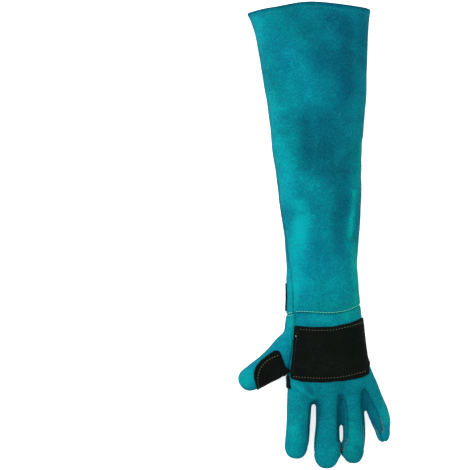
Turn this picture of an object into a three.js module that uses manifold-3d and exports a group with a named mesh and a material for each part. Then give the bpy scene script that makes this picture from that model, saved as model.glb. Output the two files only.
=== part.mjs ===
// A long leather welding gauntlet for the right hand, lying on its back with the palm up.
//
// Millimetres. +Z is up from the surface it lies on, +Y runs from the fingertips to the arm opening,
// and the thumb points to -X. The origin is under the middle of the glove, at the surface.
//
// The glove is sewn from leather panels: two for the sleeve, a palm and a back for the hand, a thumb,
// and three strips that line the sides of the fingers. Black patches lie over the palm, the thumb and
// the back of the hand. A "skin" is the filled outer shape of the glove, grown or shrunk by an offset.
// The leather is the space between two skins, and the panels are that leather cut along the seams.

import * as THREE from "three";
import Module from "manifold-3d";

const wasm = await Module();
wasm.setup();

// Driving dimensions
const LEATHER = 2.2; // wall of suede and its lining
const PATCH = 1.5; // a patch's own thickness
const SEAM_GAP = 0.3; // clearance between neighbouring panels
const PATCH_REACH = SEAM_GAP + PATCH; // how far a patch stands off the skin below it
const MIDDLE = 28; // height at which the arm opening is widest
const OPENING_LEAN = 0.075; // how far the arm opening leans back, per millimetre of height
const TALL = 200; // height of the cutting solids, more than the glove is thick

const TRUNK_SIDES = 28;
const FINGER_SIDES = 12;
const THUMB_SIDES = 16;
const SQUARENESS = 2.3; // 2 is an ellipse, more is boxier
const CAP_RINGS = 2;

// The trunk is the sleeve and the hand down to the roots of the fingers, as sections across Y.
// left, right: where its outline lies. top: height of the palm side. sag: how much of the round
// section the surface flattens. lift: how far the underside is held up, by the back patch.
// seamLeft, seamRight: height of the side seams.
const TRUNK = [
  { y: 312, left: -101, right: 72, top: 68, sag: 10, lift: 0, seamLeft: 30, seamRight: 30 },
  { y: 284, left: -87.6, right: 69.8, top: 67, sag: 10, lift: 0, seamLeft: 30, seamRight: 30 },
  { y: 264, left: -79.2, right: 68, top: 66, sag: 10, lift: 0, seamLeft: 29, seamRight: 29 },
  { y: 244, left: -75.4, right: 67.4, top: 65.5, sag: 10, lift: 0, seamLeft: 29, seamRight: 29 },
  { y: 220, left: -71.4, right: 66.8, top: 65, sag: 10, lift: 0, seamLeft: 29, seamRight: 28 },
  { y: 174, left: -64, right: 64.8, top: 63, sag: 10, lift: 0, seamLeft: 29, seamRight: 27 },
  { y: 137, left: -58.8, right: 62.4, top: 61.5, sag: 10, lift: 0, seamLeft: 29, seamRight: 27 },
  { y: 110, left: -56.8, right: 59.8, top: 60.5, sag: 9, lift: 0, seamLeft: 29, seamRight: 26 },
  { y: 84, left: -51.5, right: 58.8, top: 59.5, sag: 9, lift: 0, seamLeft: 29, seamRight: 26 },
  { y: 45, left: -48.1, right: 60, top: 58, sag: 9, lift: 0, seamLeft: 30, seamRight: 26 },
  { y: 5, left: -40.5, right: 56.8, top: 56, sag: 8, lift: 0.6, seamLeft: 32, seamRight: 25 },
  { y: -35, left: -37.8, right: 53.8, top: 54, sag: 8, lift: 1.8, seamLeft: 37, seamRight: 25 },
  { y: -71, left: -36.8, right: 55.2, top: 52, sag: 8, lift: 1.8, seamLeft: 42, seamRight: 24 },
  { y: -103, left: -37, right: 59.6, top: 50, sag: 8, lift: 1.8, seamLeft: 42, seamRight: 24 },
  { y: -129, left: -37, right: 62.8, top: 49, sag: 7, lift: 1.8, seamLeft: 38, seamRight: 23 },
  { y: -152, left: -36.5, right: 65.5, top: 47, sag: 7, lift: 1.8, seamLeft: 30, seamRight: 22 },
  { y: -174, left: -36.5, right: 70, top: 44, sag: 7, lift: 1.8, seamLeft: 22, seamRight: 20 },
  { y: -193, left: -36, right: 76.5, top: 40, sag: 7, lift: 1.8, seamLeft: 18, seamRight: 18 },
  { y: -206, left: -33, right: 78, top: 33, sag: 6, lift: 2.4, seamLeft: 16, seamRight: 17 },
  { y: -215, left: -27, right: 75, top: 24, sag: 4, lift: 4.5, seamLeft: 15, seamRight: 16 },
];
const TRUNK_TIP = 3; // how far the trunk's closed end bulges past its last section

// Fingers and thumb, as sections along their middle lines from inside the trunk to where the tip rounds
// off. gusset: half the height of the side strip between two fingers, nothing where it has run out.
const FINGERS = {
  index: {
    tip: 17,
    sections: [
      { x: -20, y: -168, z: 20.5, width: 27, depth: 28, roll: 0, gusset: 7 },
      { x: -20.4, y: -197, z: 16.5, width: 31, depth: 28, roll: 0, gusset: 7 },
      { x: -20.8, y: -219, z: 14.8, width: 32, depth: 27, roll: 0, gusset: 7 },
      { x: -22.1, y: -239, z: 14.2, width: 30.5, depth: 26, roll: 0, gusset: 7 },
      { x: -23.3, y: -258, z: 14.6, width: 31, depth: 25.5, roll: 0, gusset: 5 },
      { x: -24.2, y: -271, z: 15.8, width: 30, depth: 25, roll: 0, gusset: 0.4 },
    ],
  },
  middle: {
    tip: 18.5,
    sections: [
      { x: 16.1, y: -168, z: 21.5, width: 28, depth: 29, roll: 0, gusset: 7 },
      { x: 16.1, y: -197, z: 17, width: 30.5, depth: 29, roll: 0, gusset: 7 },
      { x: 16.1, y: -219, z: 15.2, width: 31, depth: 27.5, roll: 0, gusset: 7 },
      { x: 15.6, y: -243, z: 14.6, width: 31.5, depth: 26.5, roll: 0, gusset: 7 },
      { x: 15.0, y: -264, z: 15.4, width: 32.5, depth: 26.5, roll: 0, gusset: 5 },
      { x: 14.8, y: -281.5, z: 17.2, width: 31.5, depth: 25.5, roll: 0, gusset: 0.4 },
    ],
  },
  ring: {
    tip: 18.5,
    sections: [
      { x: 47.2, y: -168, z: 20.5, width: 27, depth: 28, roll: 0, gusset: 7 },
      { x: 48, y: -197, z: 16.8, width: 28, depth: 28, roll: 6, gusset: 7 },
      { x: 48.6, y: -219, z: 15.2, width: 28.5, depth: 27, roll: 10, gusset: 7 },
      { x: 48.8, y: -240, z: 14.8, width: 28.5, depth: 26, roll: 14, gusset: 7 },
      { x: 49.2, y: -260, z: 15.2, width: 29, depth: 26, roll: 14, gusset: 5 },
      { x: 48.2, y: -276.5, z: 17, width: 28, depth: 25, roll: 14, gusset: 0.4 },
    ],
  },
  pinky: {
    tip: 16,
    sections: [
      { x: 56, y: -158, z: 22, width: 19, depth: 22, roll: 8, gusset: 8 },
      { x: 67, y: -194, z: 18, width: 25, depth: 25, roll: 22, gusset: 8 },
      { x: 74, y: -213, z: 16.5, width: 26, depth: 24.5, roll: 38, gusset: 8.5 },
      { x: 79.5, y: -229, z: 16.5, width: 25.5, depth: 24, roll: 50, gusset: 8 },
      { x: 83.6, y: -242, z: 18, width: 23.5, depth: 22, roll: 56, gusset: 5 },
      { x: 86.4, y: -252.5, z: 19.5, width: 19, depth: 18, roll: 56, gusset: 0.4 },
    ],
  },
};
const THUMB = {
  tip: 17,
  sections: [
    { x: -19, y: -136, z: 23, width: 42, depth: 35, roll: 0 },
    { x: -31.5, y: -146.5, z: 22, width: 47, depth: 37, roll: 0 },
    { x: -44.5, y: -157.8, z: 20, width: 44, depth: 35, roll: 0 },
    { x: -56.7, y: -167.6, z: 18.2, width: 38, depth: 31, roll: 0 },
    { x: -69.2, y: -176.4, z: 17.2, width: 33.5, depth: 29, roll: 0 },
    { x: -82, y: -184.2, z: 17.8, width: 31, depth: 27, roll: 0 },
  ],
};

// Soft folds pressed into the palm side of the sleeve: a straight crease between two points,
// rising by height, or sinking where that is negative, and fading over width to each side.
const FOLDS = [
  { name: "ridge by the outer edge", x0: 57, y0: 118, x1: 47, y1: -5, width: 7, height: 3 },
  { name: "hollow beside that ridge", x0: 46, y0: 105, x1: 34, y1: -10, width: 10, height: -3 },
  { name: "dent over the wrist", x0: -31, y0: 16, x1: -20, y1: -6, width: 9, height: -3 },
  { name: "hollow under the arm opening", x0: 15, y0: 272, x1: 42, y1: 240, width: 22, height: -3.5 },
];

// Outlines seen from above, as [x, y]
const ARM_OPENING = [
  [-120, 278], [-86.7, 285.2], [-78, 287.7], [-66, 290.2], [-54, 292], [-42, 294], [-31, 296.4], [-20, 298],
  [-7, 298.8], [8, 298], [36, 295], [67, 291.4], [90, 282],
];
const WRIST_SEAM = [
  [-120, -108], [-38, -103], [-25, -99], [-7, -99.5], [18.7, -101], [38, -98.3], [51, -93.8], [60, -88.6],
  [90, -72],
];
const THUMB_SEAM = [
  [-26.5, -60], [-26.8, -97], [-28, -118], [-30, -140], [-33, -162], [-35.8, -177], [-44, -193],
  [-64, -225],
];
const PALM_PATCH = [
  [-27.4, -115.5], [-7, -117.2], [19, -116.8], [42, -112.4], [60.6, -105.8], [80, -98],
  [76, -145], [70, -162], [68.8, -171], [69, -178.6], [59, -182.8], [38, -186.3],
  [8.5, -188.8], [-17, -188], [-32, -184.6], [-32.6, -178], [-32.6, -171.5], [-31.6, -163],
  [-29.8, -145],
];
const THUMB_PATCH = [
  [-52.3, -147.7], [-46.4, -148.5], [-41.5, -161], [-38.4, -169.3], [-35.8, -171.8], [-33.1, -172.3],
  [-33.1, -176.5], [-38.6, -181.5], [-56, -202], [-74.6, -206], [-76.6, -194], [-79.6, -184],
  [-79.9, -177.4], [-76.8, -169], [-70.4, -161.4], [-59.8, -153],
];
const BACK_PATCH = [
  [-48, -62], [40, -62], [46, -68], [56, -130], [60, -190], [54, -198], [-37.2, -198],
  [-37.2, -182], [-31, -179], [-26, -155], [-24, -118], [-24, -100], [-48, -97],
];
const BACK_PATCH_TOP = 28; // how far it wraps up the thumb side
const THUMB_PATCH_BOTTOM = 15; // how far the thumb patch wraps down

// The closed solid of a mesh: points are Vector3s, triangles are triples of their numbers.
function solid(points, triangles) {
  const vertProperties = new Float32Array(points.flatMap((p) => [p.x, p.y, p.z]));
  const triVerts = new Uint32Array(triangles.flat());
  return new wasm.Manifold(new wasm.Mesh({ numProp: 3, vertProperties, triVerts }));
}

// A solid through rings of equally many points, closed by a fan to a point at each end.
function loft(rings, startPoint, endPoint) {
  const n = rings[0].length;
  const points = [...rings.flat(), startPoint, endPoint];
  const start = points.length - 2;
  const end = points.length - 1;
  const triangles = [];
  for (let i = 0; i < n; i++) {
    const j = (i + 1) % n;
    triangles.push([start, j, i]);
    for (let r = 0; r < rings.length - 1; r++) {
      const a = r * n;
      const b = a + n;
      triangles.push([a + i, a + j, b + j], [a + i, b + j, b + i]);
    }
    const last = (rings.length - 1) * n;
    triangles.push([end, last + i, last + j]);
  }
  return solid(points, triangles);
}

const power = (value) => Math.sign(value) * Math.abs(value) ** (2 / SQUARENESS);

// Points around a soft boxy section, counter-clockwise seen from its end.
function section(sides, halfWidth, halfHeight, place) {
  return Array.from({ length: sides }, (_, i) => {
    const turn = (2 * Math.PI * (i + 0.5)) / sides;
    return place(halfWidth * power(Math.cos(turn)), halfHeight * power(Math.sin(turn)));
  });
}

// How far the folds raise the palm side at a point.
function foldHeight(x, y) {
  return FOLDS.reduce((sum, fold) => {
    const from = new THREE.Vector3(fold.x0, fold.y0, 0);
    const to = new THREE.Vector3(fold.x1, fold.y1, 0);
    const here = new THREE.Vector3(x, y, 0);
    const nearest = new THREE.Line3(from, to).closestPointToPoint(here, true, new THREE.Vector3());
    return sum + fold.height * Math.exp(-((here.distanceTo(nearest) / fold.width) ** 2));
  }, 0);
}

// The skin of sleeve and hand, grown by offset.
function trunkSkin(offset) {
  const rings = TRUNK.map((row) => {
    const halfWidth = (row.right - row.left) / 2 + offset;
    const halfHeight = (row.top - row.lift + row.sag) / 2 + offset;
    const middleX = (row.left + row.right) / 2;
    const middleZ = (row.top + row.lift - row.sag) / 2;
    return section(TRUNK_SIDES, halfWidth, halfHeight, (across, up) => {
      const x = middleX + across;
      const fold = up > 0 ? foldHeight(x, row.y) * Math.min(1, (2 * up) / halfHeight) : 0;
      return new THREE.Vector3(x, row.y, Math.max(middleZ + up, row.lift - offset) + fold);
    });
  });
  const first = TRUNK[0];
  const last = TRUNK[TRUNK.length - 1];
  const middle = (row, reach) =>
    new THREE.Vector3((row.left + row.right) / 2, row.y + reach, (row.top + row.lift) / 2);
  // A shrunk skin still runs out of the arm opening, so that the sleeve is open there.
  return loft(rings, middle(first, 1 - offset), middle(last, -TRUNK_TIP - offset));
}

// The sections of a finger or thumb with their directions: along it, across it and towards the palm side.
function fingerFrames({ sections }) {
  const centres = sections.map((row) => new THREE.Vector3(row.x, row.y, row.z));
  const up = new THREE.Vector3(0, 0, 1);
  return sections.map((row, i) => {
    const before = centres[Math.max(i - 1, 0)];
    const after = centres[Math.min(i + 1, sections.length - 1)];
    const along = after.clone().sub(before).normalize();
    const roll = THREE.MathUtils.degToRad(row.roll);
    const across = up.clone().cross(along).normalize().applyAxisAngle(along, -roll);
    return { ...row, centre: centres[i], along, across, palmward: along.clone().cross(across) };
  });
}

function fingerSkin(finger, sides, offset) {
  const frames = fingerFrames(finger);
  const ring = (frame, centre, scale) =>
    section(sides, scale * (frame.width / 2 + offset), scale * (frame.depth / 2 + offset), (across, up) =>
      centre.clone().addScaledVector(frame.across, across).addScaledVector(frame.palmward, up),
    );
  const rings = frames.map((frame) => ring(frame, frame.centre, 1));
  const last = frames[frames.length - 1];
  const reach = finger.tip + offset;
  for (let i = 1; i <= CAP_RINGS; i++) {
    const turn = (i / (CAP_RINGS + 0.7)) * (Math.PI / 2);
    const centre = last.centre.clone().addScaledVector(last.along, reach * Math.sin(turn));
    rings.push(ring(last, centre, Math.cos(turn)));
  }
  return loft(rings, frames[0].centre, last.centre.clone().addScaledVector(last.along, reach));
}

// The whole glove's skin, grown by offset.
function gloveSkin(offset) {
  const mitten = trunkSkin(offset).add(fingerSkin(THUMB, THUMB_SIDES, offset));
  return Object.values(FINGERS).reduce(
    (whole, finger) => whole.add(fingerSkin(finger, FINGER_SIDES, offset)),
    mitten,
  );
}

// A tall solid over an outline seen from above, leaning by `lean` away from +Y as it rises.
function prism(outline, low = -TALL / 2, high = TALL / 2, lean = 0) {
  const shape = new THREE.Shape(outline.map(([x, y]) => new THREE.Vector2(x, y)));
  const geometry = new THREE.ExtrudeGeometry(shape, { depth: high - low, bevelEnabled: false });
  const position = geometry.getAttribute("position");
  const numbers = new Map();
  const points = [];
  const corner = (i) => {
    const point = new THREE.Vector3().fromBufferAttribute(position, i);
    const key = `${point.x},${point.y},${point.z}`;
    if (!numbers.has(key)) {
      numbers.set(key, points.length);
      const z = point.z + low;
      points.push(point.set(point.x, point.y - lean * (z - MIDDLE), z));
    }
    return numbers.get(key);
  };
  const triangles = [];
  for (let i = 0; i < position.count; i += 3) triangles.push([corner(i), corner(i + 1), corner(i + 2)]);
  return solid(points, triangles);
}

const moved = (line, dx, dy) => line.map(([x, y]) => [x + dx, y + dy]);

// The outline of everything on one side of an open line: towards +Y, or towards -X.
const beyond = (line, dx, dy) => [...line, ...moved([line[line.length - 1], line[0]], dx, dy)];

function smoothLine(line) {
  const curve = new THREE.SplineCurve(line.map(([x, y]) => new THREE.Vector2(x, y)));
  return curve.getPoints(3 * (line.length - 1)).map((p) => [p.x, p.y]);
}

// The closed solid between two grids of points, whose rows follow -Y and whose columns follow +X.
function slab(topRows, bottomRows) {
  const n = topRows[0].length;
  const points = [...topRows.flat(), ...bottomRows.flat()];
  const under = topRows.flat().length;
  const triangles = [];
  const quad = (a, b, c, d) => triangles.push([a, b, c], [a, c, d]);
  for (let r = 0; r < topRows.length - 1; r++) {
    for (let c = 0; c < n - 1; c++) {
      const a = r * n + c;
      quad(a, a + n, a + n + 1, a + 1);
      quad(under + a, under + a + 1, under + a + n + 1, under + a + n);
    }
    const left = r * n;
    const right = left + n - 1;
    quad(left, under + left, under + left + n, left + n);
    quad(right, right + n, under + right + n, under + right);
  }
  const lastRow = (topRows.length - 1) * n;
  for (let c = 0; c < n - 1; c++) {
    quad(c, c + 1, under + c + 1, under + c);
    quad(lastRow + c, under + lastRow + c, under + lastRow + c + 1, lastRow + c + 1);
  }
  return solid(points, triangles);
}

// Everything below the sheet in which the side seams lie, raised by `raise`. It runs down the trunk
// from side to side, and then through the middles of the fingers.
function belowSeams(raise) {
  const apart = 60;
  const fingers = Object.values(FINGERS);
  const columns = 2 * fingers.length - 1;
  const widened = (inside) => {
    const first = inside[0];
    const last = inside[inside.length - 1];
    const row = [first.clone().setX(first.x - apart), ...inside, last.clone().setX(last.x + apart)];
    return row.map((point) => point.setZ(point.z + raise));
  };
  const trunkRows = TRUNK.filter((row) => row.y > -160).map((row) =>
    Array.from({ length: columns + 1 }, (_, i) => {
      const share = i / columns;
      const z = THREE.MathUtils.lerp(row.seamLeft, row.seamRight, share);
      return new THREE.Vector3(THREE.MathUtils.lerp(row.left, row.right, share), row.y, z);
    }),
  );
  const frames = fingers.map((finger) => {
    const list = fingerFrames(finger);
    const last = list[list.length - 1];
    const beyondTip = last.centre.clone().addScaledVector(last.along, 1.5 * finger.tip);
    return [...list, { ...last, centre: beyondTip }];
  });
  const fingerRows = frames[0].map((_, r) =>
    frames.flatMap((list) => {
      const { centre, across, width } = list[r];
      return [-0.37, 0.37].map((side) => centre.clone().addScaledVector(across, side * width));
    }),
  );
  const rows = [...trunkRows, ...fingerRows].map(widened);
  return slab(rows, rows.map((row) => row.map((point) => point.clone().setZ(point.z - TALL))));
}

// The space between the middle lines of two neighbouring fingers that their side strip takes up,
// thickened by grow.
function gussetZone(left, right, grow) {
  const leftFrames = fingerFrames(FINGERS[left]);
  const rightFrames = fingerFrames(FINGERS[right]);
  const edge = (frame, side, out, reach) =>
    frame.centre
      .clone()
      .addScaledVector(frame.palmward, side * frame.gusset)
      .addScaledVector(frame.across, out * frame.width)
      .addScaledVector(frame.along, reach)
      .add(new THREE.Vector3(0, 0, side * grow));
  const rows = (side) =>
    leftFrames.map((frame, i) => {
      const reach = i === leftFrames.length - 1 ? grow : 0;
      const neighbour = rightFrames[i];
      return [
        edge(frame, side, 0, reach), edge(frame, side, 0.3, reach),
        edge(neighbour, side, -0.3, reach), edge(neighbour, side, 0, reach),
      ];
    });
  return slab(rows(1), rows(-1));
}

// The largest of a solid's separate bodies: cuts through thin leather can leave crumbs.
const mainBody = (made) =>
  made.decompose().reduce((best, body) => (body.volume() > best.volume() ? body : best));

const skin = gloveSkin(0);
const armOpening = prism(beyond(smoothLine(ARM_OPENING), 0, 60), -TALL / 2, TALL / 2, OPENING_LEAN);
const leather = skin.subtract(gloveSkin(-LEATHER)).subtract(armOpening);

const sleeveZone = prism(beyond(smoothLine(WRIST_SEAM), 0, 500));
const sleeveZoneGrown = prism(beyond(moved(smoothLine(WRIST_SEAM), 0, -SEAM_GAP), 0, 500));
const thumbZone = prism(beyond(smoothLine(THUMB_SEAM), -120, 0));
const thumbZoneGrown = prism(beyond(moved(smoothLine(THUMB_SEAM), SEAM_GAP, 0), -120, 0));
const lower = belowSeams(-SEAM_GAP / 2);
const lowerGrown = belowSeams(SEAM_GAP / 2);
const gussets = [["index", "middle"], ["middle", "ring"], ["ring", "pinky"]];

const hand = leather.subtract(sleeveZoneGrown);
const handShell = gussets.reduce(
  (rest, pair) => rest.subtract(gussetZone(...pair, 1.5 * SEAM_GAP)),
  hand.subtract(thumbZoneGrown),
);
const patchLayer = gloveSkin(PATCH_REACH).subtract(gloveSkin(SEAM_GAP));

const teal = { color: 0x0a8296, roughness: 0.95, metalness: 0 };
const black = { color: 0x14171a, roughness: 0.9, metalness: 0 };
const pieces = [
  { name: "sleeve_front", look: teal, made: leather.intersect(sleeveZone).subtract(lowerGrown) },
  { name: "sleeve_back", look: teal, made: leather.intersect(sleeveZone).intersect(lower) },
  { name: "hand_palm", look: teal, made: handShell.subtract(lowerGrown) },
  { name: "hand_back", look: teal, made: handShell.intersect(lower) },
  { name: "thumb", look: teal, made: hand.intersect(thumbZone) },
  ...gussets.map(([left, right]) => ({
    name: `side_strip_${left}_${right}`,
    look: teal,
    made: hand.intersect(gussetZone(left, right, 0)),
  })),
  {
    name: "palm_patch",
    look: black,
    made: patchLayer.intersect(prism(PALM_PATCH)).subtract(lowerGrown),
  },
  {
    name: "thumb_patch",
    look: black,
    made: patchLayer.intersect(prism(THUMB_PATCH, THUMB_PATCH_BOTTOM)),
  },
  {
    name: "back_patch",
    look: black,
    made: patchLayer.intersect(prism(BACK_PATCH, -TALL / 2, BACK_PATCH_TOP)),
  },
];

function meshOf({ name, look, made }) {
  const { numProp, vertProperties, triVerts } = mainBody(made).getMesh();
  const positions = new Float32Array((vertProperties.length / numProp) * 3);
  for (let i = 0; i < positions.length / 3; i++) {
    positions.set(vertProperties.subarray(i * numProp, i * numProp + 3), i * 3);
  }
  const geometry = new THREE.BufferGeometry();
  geometry.setAttribute("position", new THREE.BufferAttribute(positions, 3));
  geometry.setIndex(new THREE.BufferAttribute(triVerts, 1));
  geometry.computeVertexNormals();
  const mesh = new THREE.Mesh(geometry, new THREE.MeshStandardMaterial(look));
  mesh.name = name;
  return mesh;
}

const gauntlet = new THREE.Group();
gauntlet.add(...pieces.map(meshOf));

export default gauntlet;
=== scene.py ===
import math

import bpy
import numpy as np
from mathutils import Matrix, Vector, noise
from mathutils.bvhtree import BVHTree
from mathutils.kdtree import KDTree


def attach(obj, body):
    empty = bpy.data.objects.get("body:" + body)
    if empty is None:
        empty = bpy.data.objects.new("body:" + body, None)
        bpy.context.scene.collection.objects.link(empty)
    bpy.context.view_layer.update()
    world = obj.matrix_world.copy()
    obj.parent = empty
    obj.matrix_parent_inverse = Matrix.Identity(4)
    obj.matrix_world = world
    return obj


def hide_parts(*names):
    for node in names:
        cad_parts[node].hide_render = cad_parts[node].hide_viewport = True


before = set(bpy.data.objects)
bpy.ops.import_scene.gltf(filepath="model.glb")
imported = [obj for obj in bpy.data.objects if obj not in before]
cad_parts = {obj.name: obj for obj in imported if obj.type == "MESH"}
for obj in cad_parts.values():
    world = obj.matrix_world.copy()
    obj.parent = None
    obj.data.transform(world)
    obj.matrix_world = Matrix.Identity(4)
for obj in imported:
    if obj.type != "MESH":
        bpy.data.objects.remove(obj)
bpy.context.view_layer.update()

# A long suede welding gauntlet for the right hand, lying on its back, palm up.
# Lengths are in millimetres up to the point where a mesh is made. +Y runs from the fingertips to the
# arm opening, +Z is up, and the thumb points to -X.

MM = 0.001
VOXEL = 1.3  # grid on which the lofts are joined into one skin
STEP = 1.5  # spacing of sections along a loft
TRUNK_SOFTNESS = 8  # length over which the sections are softened
FINGER_SOFTNESS = 6
LINE_STEP = 1.0  # the same for lines seen from above
LINE_SOFTNESS = 4
SQUARENESS = 2.3  # power of the rounded sections: 2 is an ellipse
FORM_ROUNDS = 8  # rounds of smoothing for the whole skin
JUNCTION_ROUNDS = 30  # and for the joints between lofts
SMOOTHING = 0.5  # share of the way to the middle of its neighbours that a point goes in one round
NEAR_POINT = 0.25  # a cut that meets an edge this near to its end moves the end, as a share
PALM_FACING = (0.0, 0.5)  # upward parts of a normal over which creases come in
RESTING = (0.6, 0.95)  # downward parts over which leather counts as lying on the floor

LEATHER = 2.2
LEATHER_LOW = 0.05  # lowest point of the leather above the floor
SEAM_PULL = 0.1  # how far a panel's edge stands back from its neighbour's
PATCH = 1.5
PATCH_GAP = 0.25
PATCH_LOW = 0.02  # lowest point of patches and stitches above the floor
CUT_EDGE = 1.3  # width of a patch's rounded cut edge
CUT_HEIGHT = 0.3  # share of its thickness left at the very edge
STITCH_INSET = 3.4  # from a patch's edge to its stitches
STITCH_PRESS = 0.4  # depth of the channel that they press, and its half width
STITCH_CHANNEL = 1.2

HEM = 9.0  # width of the turned edge at the arm opening
HEM_RISE = 0.5  # how far it stands out
HEM_EXTRA = 1.2  # how much thicker it is
HEM_BLEND = 1.5
HEM_STITCH = 7.0  # from the rim to the hem's stitches
HEM_PRESS = 0.45  # depth of the channel that they press, its half width, and the loss of thickness
HEM_CHANNEL = 1.1
HEM_THINNER = 0.6
EDGE_ROUND = 1.7
THINNEST = 0.6

# Sections across the sleeve and hand:
# y, left, right, top, sag, lift, height of left seam, height of right seam
TRUNK = [
    (312, -101, 72, 68, 10, 0, 30, 30),
    (284, -87.6, 69.8, 67, 10, 0, 30, 30),
    (264, -79.2, 68, 66, 10, 0, 29, 29),
    (244, -75.4, 67.4, 65.5, 10, 0, 29, 29),
    (220, -71.4, 66.8, 65, 10, 0, 29, 28),
    (174, -64, 64.8, 63, 10, 0, 29, 27),
    (137, -58.8, 62.4, 61.5, 10, 0, 29, 27),
    (110, -56.8, 59.8, 60.5, 9, 0, 29, 26),
    (84, -51.5, 58.8, 59.5, 9, 0, 29, 26),
    (45, -48.1, 60, 58, 9, 0, 30, 26),
    (5, -40.5, 56.8, 56, 8, 0.6, 32, 25),
    (-35, -37.8, 54.9, 54, 8, 1.8, 37, 25),
    (-71, -36.8, 56.2, 52, 8, 1.8, 42, 24),
    (-103, -38.2, 60, 50, 8, 1.8, 42, 24),
    (-129, -41.5, 62.8, 49, 7, 1.8, 38, 23),
    (-152, -36.5, 65.5, 47, 7, 1.8, 30, 22),
    (-174, -36.5, 70, 44, 7, 1.8, 22, 20),
    (-193, -36, 76.5, 40, 7, 1.8, 18, 18),
    (-206, -33, 78, 33, 6, 2.4, 16, 17),
    (-215, -27, 75, 24, 4, 4.5, 15, 16),
]
TRUNK_TIP = 4  # how far the trunk's closed end bulges past its last section

# Length of the rounded tip, then sections along each finger and the thumb:
# x, y, z, width, depth, roll, half height of side strip
INDEX = (20, [
    (-20, -168, 20.5, 27, 28, 0, 7),
    (-20.4, -197, 16.5, 31.5, 28, 0, 7),
    (-20.8, -219, 14.8, 32.5, 27, 0, 7),
    (-21.9, -239, 14.4, 31.5, 26.5, 0, 7),
    (-22.9, -258, 14.8, 33, 26.5, 0, 6.5),
    (-24.4, -271, 15.8, 32, 26, 0, 4),
])
MIDDLE = (21, [
    (16.1, -168, 21.5, 28, 29, 0, 7),
    (16.4, -197, 17, 31, 29, 0, 7),
    (16.8, -219, 15.2, 31, 27.5, 0, 7),
    (16.3, -243, 14.8, 31, 27, 0, 7),
    (15.2, -264, 15.4, 33.4, 27, 0, 6.5),
    (14.8, -281.5, 17.2, 34.2, 26.5, 0, 4),
])
RING = (20.5, [
    (47.2, -168, 20.5, 27, 28, 0, 7),
    (48, -197, 16.8, 28.5, 28, 8, 8),
    (48.8, -219, 15.2, 28.5, 27.5, 14, 8.5),
    (49.8, -240, 14.8, 28.4, 26.5, 18, 8.5),
    (50.5, -260, 15.2, 29, 26.5, 18, 8),
    (49.6, -276.5, 17, 28.6, 26, 16, 6),
])
PINKY = (17, [
    (56, -158, 22, 19, 22, 8, 8),
    (68, -194, 18, 26, 25, 22, 8),
    (74.8, -213, 16.5, 26.2, 25, 38, 8.5),
    (81.3, -229, 16.5, 28, 25.5, 50, 8.5),
    (85.5, -242, 18, 27, 25, 56, 8),
    (86.8, -252.5, 19.5, 17.5, 18, 56, 6),
])
THUMB = (18.5, [
    (-19, -136, 23, 42, 35, 0, 0),
    (-31.5, -146.5, 22, 47, 37, 0, 0),
    (-43.9, -158.6, 20, 42.5, 35, 0, 0),
    (-56.2, -168.3, 18.2, 36.5, 31, 0, 0),
    (-69.2, -176.8, 17.4, 34, 29.5, 0, 0),
    (-82, -184.6, 18, 32, 28, 0, 0),
])
# The foot of the side strip in the slit between middle and ring finger, in the same terms
WEB = (4, [
    (32.8, -200, 15, 9, 17, 0, 0),
    (32.8, -220, 13.5, 7, 14, 0, 0),
    (32.8, -243, 12.5, 6, 11, 0, 0),
])

# Folds on the palm side: start x, y, end x, y, width, height
FOLDS = [
    (57, 118, 47, -5, 7, 3), (46, 105, 34, -10, 10, -3),
    (-31, 16, -20, -6, 9, -3), (15, 272, 42, 240, 22, -3.5),
]
# Small creases in the leather of the palm side, in the same terms
CREASES = [
    (-3, -206, -15, -191, 2.8, -1.2), (-5, -209, -28, -192, 3.2, 0.9), (2, -212, 8, -192, 2.4, -0.5),
    (31, -212, 27, -193, 2.4, -0.6), (32, -212, 38, -192, 2.6, -0.5), (60, -205, 52, -190, 3.0, -0.8),
    (-24, -226, -10, -229, 2.6, -0.5), (4, -241, 26, -238, 2.4, -0.5), (40, -239, 57, -241, 2.4, -0.5),
    (4, -222, 24, -225, 2.2, -0.35), (-34, -100, -29, -128, 3.0, -0.8), (-60, -158, -52, -172, 3.0, -0.5),
    (-70, -170, -64, -184, 2.6, -0.5), (-58, 176, -40, 160, 6, -0.9), (-50, 80, -26, 70, 6, -0.9),
    (20, 60, 44, 30, 7, -0.8), (-36, -48, -12, -60, 5, -0.8), (34, -60, 52, -74, 5, -0.8),
    (40, 190, 62, 176, 6, -0.9),
]

# Shallow dents in the sides, and bulges where the depth is negative: x, y, z, radius, depth
DENTS = [
    (61, 119, 28, 8, 1.4), (60, 75, 28, 8, 0.9), (62, 180, 28, 16, -0.7),
    (-49, 58, 29, 12, 0.9), (-63, 172, 29, 18, 0.8), (-40, -38, 34, 12, 0.6),
    (56, -40, 26, 12, 0.6),
]

# Unevenness of the leather: size of its bumps, their height, and the share lost where it rests
WOBBLES = [(36, 0.9, 1), (14, 0.35, 0.8)]
# The line of a seam and the hollow around it: depth, half width
SEAM_GROOVES = [(1.1, 1.5), (0.5, 5)]
GROOVE_ENDS = (-1, 6)  # distances from the rim over which they reach their depth
GROOVE_AT_RIM = 0.2  # share of it that is left at the rim

# Places where two lofts meet and their joint is softened: x, y, radius along x, radius along y, amount
JUNCTIONS = [
    (-1.5, -210, 8, 9, 0.8), (32.8, -206, 8, 9, 0.8), (61, -206, 8, 9, 0.7),
    (-36, -178, 9, 9, 1.0), (-40, -120, 13, 20, 1.0),
]

FINGER_ROOTS = (165, 205)  # -y over which the side seams pass from the trunk's to the fingers'
STRIP_START = -185  # y beyond which a side strip can lie

# Fingertips that lean on each other: x and y of the slit between them, reach along y, and push
CONTACTS = [(33.4, -277, 10, 2.8)]
CONTACT_GAP = 0.12
CONTACT_WIDTH = 15  # how far to each side they are pushed

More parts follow.
